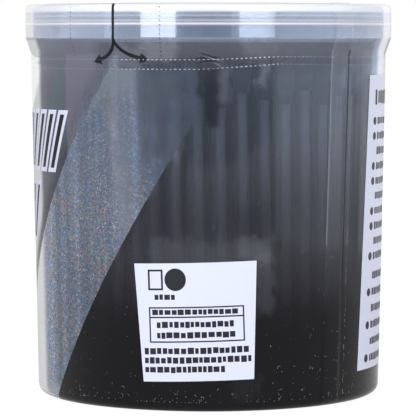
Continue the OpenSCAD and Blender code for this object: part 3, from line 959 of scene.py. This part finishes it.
def film_ink():
    """The printed film: smoke at the top, which thickens to black towards the foot.

    Over the lid the film is clearer, and there the lid's shoulder, groove and edge show
    through it as level lines of painted highlight.
    """
    material, t = new_material("film_ink")
    turn, z, spot = t.turn_and_height()
    cloud = t.soft_noise(spot, 420.0, 3.0)
    loose_turn = t.math("ADD", turn, t.span(cloud, 0.3, 0.7, -1.5, 1.5))
    loose_z = t.math("ADD", z, t.span(cloud, 0.3, 0.7, -1.3 * MM, 1.3 * MM))
    # Painted shade: the film lets less through in these patches, most where the camera's dark
    # reflection falls
    shade = 0.0
    for amount, *spans in SHADE_PATCHES:
        shade = t.math("MAXIMUM", shade, t.product(t.patch(turn, loose_z, *spans), amount))
    see = t.see_through(t.mix(shade, t.height_ramp(z, FILM_TINT), (0.02, 0.03, 0.05)))
    under = t.add("ShaderNodeAddShader", {0: see, 1: t.matt(t.height_ramp(z, FILM_SMOKE))})
    # haze here holds the film's haze together with painted highlights where the softboxes' light
    # falls
    haze = film_haze_and_highlights(t, turn, z, loose_turn, loose_z)
    under = t.shaders(haze, under, t.matt((0.9, 0.95, 1.1)))
    long_spot = t.add("ShaderNodeMapping", {"Vector": spot, "Scale": (1.0, 1.0, 0.25)})
    left, milky = pearly_film(t, turn, z, long_spot)
    under = t.shaders(t.product(left, 0.7), under, milky)
    normal = t.add("ShaderNodeNewGeometry", out="Normal")
    flat = t.math("ABSOLUTE", t.add("ShaderNodeSeparateXYZ", {0: normal}, out="Z"))
    # Painted highlights of the lid's lines, only where the film stands upright
    lines = t.product(t.height_ramp(z, LID_LINES), t.span(flat, 0.75, 0.98, 1, 0))
    under = t.shaders(lines, under, t.matt((0.86, 0.87, 0.92)))
    flow = t.relief(t.soft_noise(long_spot, 260.0, 1.5), 0.035, 0.2 * MM)
    ior = t.by_height(z, *LID_START, FILM_IOR, LID_IOR)
    edge = t.math("MAXIMUM", t.product(left, 0.85), t.by_height(z, 25, 60, 0.0, 0.6))
    t.surface(glossed(t, under, ior, 0.06, flow, edge))
    return material


def film_clear():
    """The film's bare inside."""
    material, t = new_material("film_clear")
    t.surface(glossed(t, t.see_through((0.98, 0.985, 1.0)), INSIDE_IOR, 0.08))
    return material


def stem_paper():
    """Black rolled paper with a fine grain, darker towards the upper tips."""
    material, t = new_material("stem_paper")
    _, z, spot = t.turn_and_height()
    grain = t.soft_noise(spot, 1500.0, 3.0)
    colour = t.mix(grain, (0.05, 0.052, 0.06), (0.1, 0.102, 0.115))
    colour = t.mix(t.by_height(z, 56, 69, 0.0, 0.6, smooth=True), colour, (0.02, 0.02, 0.024))
    t.surface(t.add("ShaderNodeBsdfPrincipled", {"Base Color": colour, "Roughness": 0.42,
                                                 "Normal": t.relief(grain, 0.3, 0.1 * MM)}))
    return material


def tip_cotton():
    """Black wound cotton: matt, fibrous, with a soft fuzz at its edge."""
    material, t = new_material("tip_cotton")
    fibre = t.soft_noise(t.spot(), 2600.0, 5.0, Roughness=0.7)
    colour = t.mix(fibre, (0.006, 0.006, 0.007), (0.03, 0.03, 0.035))
    t.surface(t.add("ShaderNodeBsdfPrincipled", {"Base Color": colour, "Roughness": 0.95,
                                                 "Sheen Weight": 0.08, "Sheen Roughness": 0.4,
                                                 "Normal": t.relief(fibre, 0.8, 0.2 * MM)}))
    return material


def glitter_colour(t, turn, z, spot):
    """The silver ink's grains: warmer low down, streaked, and even at the foot; far left a painted
    sheen.
    """
    grain = t.add("ShaderNodeTexVoronoi", {"Vector": spot, "Scale": 3600.0}, out="Color")
    glitter = t.ramp(t.add("ShaderNodeSeparateColor", {0: grain}), GLITTER, "CONSTANT")
    bluer = t.mix(0.35, glitter, (0.04, 0.075, 0.13))
    glitter = t.mix(t.by_height(z, 45, 60), glitter, bluer)
    mottle = t.span(t.soft_noise(spot, 110.0, 2.0), 0.35, 0.65, -0.09, 0.09)
    warm = t.math("ADD", t.by_height(z, 20, 60, 1.03, 0.92), mottle)
    tone = t.add("ShaderNodeCombineColor", {0: warm, 1: 1.0, 2: t.math("SUBTRACT", 2.0, warm)})
    glitter = t.add("ShaderNodeVectorMath", {0: glitter, 1: tone}, operation="MULTIPLY")
    streak = t.add("ShaderNodeTexNoise", {"W": turn, "Scale": 0.2, "Detail": 1.5},
                   noise_dimensions="1D")
    # Far left, where the wall turns away, the grains are painted brighter and then even: painted
    # sheen
    glitter = t.scaled(glitter, t.product(t.span(turn, -74.0, -50.0, 2.3, 1.0),
                                          t.span(streak, 0.34, 0.66, 0.66, 1.26)))
    even = t.math("MAXIMUM", t.span(turn, -76.0, -64.0, 0.8, 0.0),
                  t.by_height(z, 2, 4, 0.7, 0.0))
    return t.mix(even, glitter, (0.33, 0.345, 0.38))


def silver_ink():
    """Silver ink that is thin and smooth at its upper right and thick with glitter below.

    An upright zone of it has a painted highlight, with a brighter painted streak in its middle.
    """
    material, t = new_material("silver_ink")
    turn, z, spot = t.turn_and_height()
    above_foot = t.by_height(z, 20, 40)
    thick = t.math("ADD", t.span(turn, -40.0, -12.0, 0.8, 0.0), t.by_height(z, 30, 72, 0.5, 0.0))
    cloud = t.soft_noise(spot, 240.0, 3.0)
    thick = t.math("ADD", thick, t.span(cloud, 0.3, 0.7, -0.16, 0.16), clamp=True)
    # Painted highlight: an upright zone of thicker, brighter ink, brightest on its right side
    aside = t.math("ABSOLUTE", t.math("SUBTRACT", turn, t.by_height(z, 40, 70, -25.0, -28.0)))
    zone = t.product(t.span(aside, 3.5, 9.0, 0.62, 0.0, smooth=True), above_foot)
    thick = t.math("MAXIMUM", thick, zone)
    colour = t.mix(t.span(thick, 0.15, 0.6), (0.1, 0.115, 0.15), glitter_colour(t, turn, z, spot))
    near = t.product(zone, t.span(turn, -31.5, -27.5, 0.0, 1.0))
    plain = t.math("MAXIMUM", t.product(near, 0.6), t.by_height(z, 63, 69.5, 0.0, 0.85))
    colour = t.mix(plain, colour, (0.11, 0.13, 0.168))
    colour = t.scaled(colour, t.span(near, 0.0, 0.62, 1.0, 1.4))
    # A brighter painted streak in the lit zone
    column = t.math("SUBTRACT", turn, t.by_height(z, 40, 70, -25.5, -32.5))
    streak = t.product(t.span(t.math("ABSOLUTE", column), 0.5, 4.5, 1, 0, smooth=True),
                       above_foot, t.by_height(z, 63, 68, 1, 0))
    colour = t.mix(t.product(streak, 0.5), colour, (0.15, 0.165, 0.2))
    body = t.add("ShaderNodeBsdfPrincipled", {"Base Color": colour, "Roughness": 0.5,
                                              "Metallic": 0.15})
    ink = t.shaders(t.ramp(thick, SILVER_COVER), t.see_through((0.7, 0.8, 0.95)), body)
    t.surface(glossed(t, ink, FILM_IOR, 0.1, edge=0.85))
    return material


def flat_ink_or_painted_light(name, colour, cover=1.0, roughness=0.35, shine=0.5):
    """Plain printed ink, fine dirt, or painted highlight or shade, that covers a share of what is
    under it.
    """
    material, t = new_material(name)
    grain = t.soft_noise(t.spot(), 2200.0, 2.0)
    tone = t.mix(t.span(grain, 0.3, 0.7, 0.0, 0.06), colour, tuple(c * 0.6 for c in colour))
    body = t.add("ShaderNodeBsdfPrincipled", {"Base Color": tone, "Roughness": roughness,
                                              "IOR": FILM_IOR, "Specular IOR Level": shine})
    if cover < 1:
        body = t.shaders(cover, t.see_through(WHITE), body)
    t.surface(body)
    return material


def paint_node(name, material):
    """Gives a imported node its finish."""
    mesh = frame["nodes"][name].data
    mesh.materials.clear()
    mesh.materials.append(material)


# The stage

def seen_straight(t):
    """1 for rays of camera, gloss or clear plastic, and 1 for those of gloss alone."""
    path = t.add("ShaderNodeLightPath").node.outputs
    seen = t.math("MAXIMUM", path["Is Camera Ray"], path["Is Glossy Ray"])
    return t.math("MAXIMUM", seen, path["Is Transmission Ray"]), path["Is Glossy Ray"]


def floor():
    """A plain white floor that keeps a soft shadow of the tub and is dimmer in gloss."""
    half = 2.0
    corners = [(-half, -half, 0), (half, -half, 0), (half, half, 0), (-half, half, 0)]
    piece = add_mesh("floor", corners, [(0, 1, 2, 3)])
    material, t = new_material("floor_white")
    seen, in_gloss = seen_straight(t)
    dim = t.span(in_gloss, 0.0, 1.0, 1.2, 0.72)
    white = t.add("ShaderNodeEmission", {"Color": WHITE, "Strength": dim})
    t.surface(t.shaders(t.product(seen, 0.76), t.matt((0.9, 0.9, 0.9)), white))
    piece.data.materials.append(material)


def world():
    """White where the camera, gloss and clear plastic see it, softer as a light."""
    made = bpy.data.worlds.new("studio")
    bpy.context.scene.world = made
    t = Tree(made)
    light = t.add("ShaderNodeBackground", {"Color": (0.97, 0.98, 1.0), "Strength": 0.6})
    white = t.add("ShaderNodeBackground", {"Color": WHITE, "Strength": 1.0})
    t.surface(t.shaders(seen_straight(t)[0], light, white), "ShaderNodeOutputWorld")


def softbox(name, turn, distance, low, width, height, power):
    """An upright area light that faces the tub. Gloss sees a lower card in its place."""
    light = bpy.data.lights.new(name, "AREA")
    light.shape = "RECTANGLE"
    light.size = width
    light.size_y = height
    light.energy = power
    lamp = bpy.data.objects.new(name, light)
    lamp.location = place(turn, distance, low + height / 2)
    lamp.rotation_euler = (math.radians(90), 0, math.radians(turn))
    lamp.visible_glossy = False
    bpy.context.scene.collection.objects.link(lamp)


def gloss_card(name, turn, distance, low, width, height, grey):
    """A card that only gloss sees, dark or brighter than white: part of the studio."""
    centre = place(turn, distance, 0)
    across = Vector((math.cos(math.radians(turn)), math.sin(math.radians(turn)), 0))
    verts = [centre + across * side * width / 2 + Vector((0, 0, z))
             for side, z in ((-1, low), (1, low), (1, low + height), (-1, low + height))]
    card = add_mesh(name, verts, [(0, 1, 2, 3)])
    material, t = new_material(name)
    t.surface(t.add("ShaderNodeEmission", {"Color": (0.95, 0.97, 1.0), "Strength": grey}))
    card.data.materials.append(material)
    for ray in ("camera", "diffuse", "transmission", "shadow", "volume_scatter"):
        setattr(card, f"visible_{ray}", False)


def camera():
    """The photograph's camera: far off, with a long lens."""
    data = bpy.data.cameras.new("camera")
    data.lens = CAMERA_LENS
    data.sensor_width = 36.0
    data.clip_start = 0.01
    data.clip_end = 20.0
    made = bpy.data.objects.new("camera", data)
    made.location = CAMERA_PLACE
    made.rotation_euler = (math.radians(90 - CAMERA_PITCH), 0, 0)
    bpy.context.scene.collection.objects.link(made)
    bpy.context.scene.camera = made


def paint_packed_nodes():
    """The tub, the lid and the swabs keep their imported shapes."""
    paint_node("tub", clear_plastic("tub_clear", (0.97, 0.98, 0.99), 0.008, TUB_IOR, edge=0.8))
    paint_node("lid", clear_plastic("lid_clear", (0.95, 0.965, 0.985), 0.03, LID_IOR))
    paint_node("swab_stems", stem_paper())
    cotton = tip_cotton()
    paint_node("lower_tips", cotton)
    paint_node("upper_tips", cotton)


def dress_film():
    """The film with its print, slits, folds and dust."""
    film_sheet(film_ink(), film_clear())
    silver_band(silver_ink())
    white_print(flat_ink_or_painted_light("white_ink", (0.66, 0.69, 0.84)))
    black_print(flat_ink_or_painted_light("black_ink", (0.012, 0.012, 0.015), shine=0.2))
    small_print(flat_ink_or_painted_light("small_print_grey", (0.025, 0.025, 0.032), shine=0.2))
    # The slits in painted highlight, the upright holes in painted shade
    perforations(flat_ink_or_painted_light("slit_highlights", (0.55, 0.58, 0.63), 0.75),
                 flat_ink_or_painted_light("slit_shade", (0.02, 0.02, 0.025), 0.8))
    # The first ink is both the real scuffs and the overlap edge's painted highlight; the second
    # the overlap's painted shadow
    seam_lines(flat_ink_or_painted_light("scuffs_and_edge_highlight", (0.4, 0.41, 0.44), 0.3),
               flat_ink_or_painted_light("overlap_painted_shadow", (0.01, 0.01, 0.014), 0.65))
    wrinkles(flat_ink_or_painted_light("fold_shine", (0.4, 0.42, 0.46), 0.4),
             flat_ink_or_painted_light("fold_shade", (0.01, 0.011, 0.016), 0.55))
    dust(flat_ink_or_painted_light("dust_grey", (0.4, 0.4, 0.4), 0.55, 0.9))


paint_packed_nodes()
dress_film()
floor()
world()
for row in SOFTBOXES:
    softbox(*row)
for row in GLOSS_CARDS:
    gloss_card(*row)
camera()

# A ray passes film, walls and print on both sides of the tub: that takes many bounces
scene = bpy.context.scene
scene.view_settings.view_transform = "Standard"
scene.cycles.transparent_max_bounces = 40
scene.cycles.max_bounces = 12
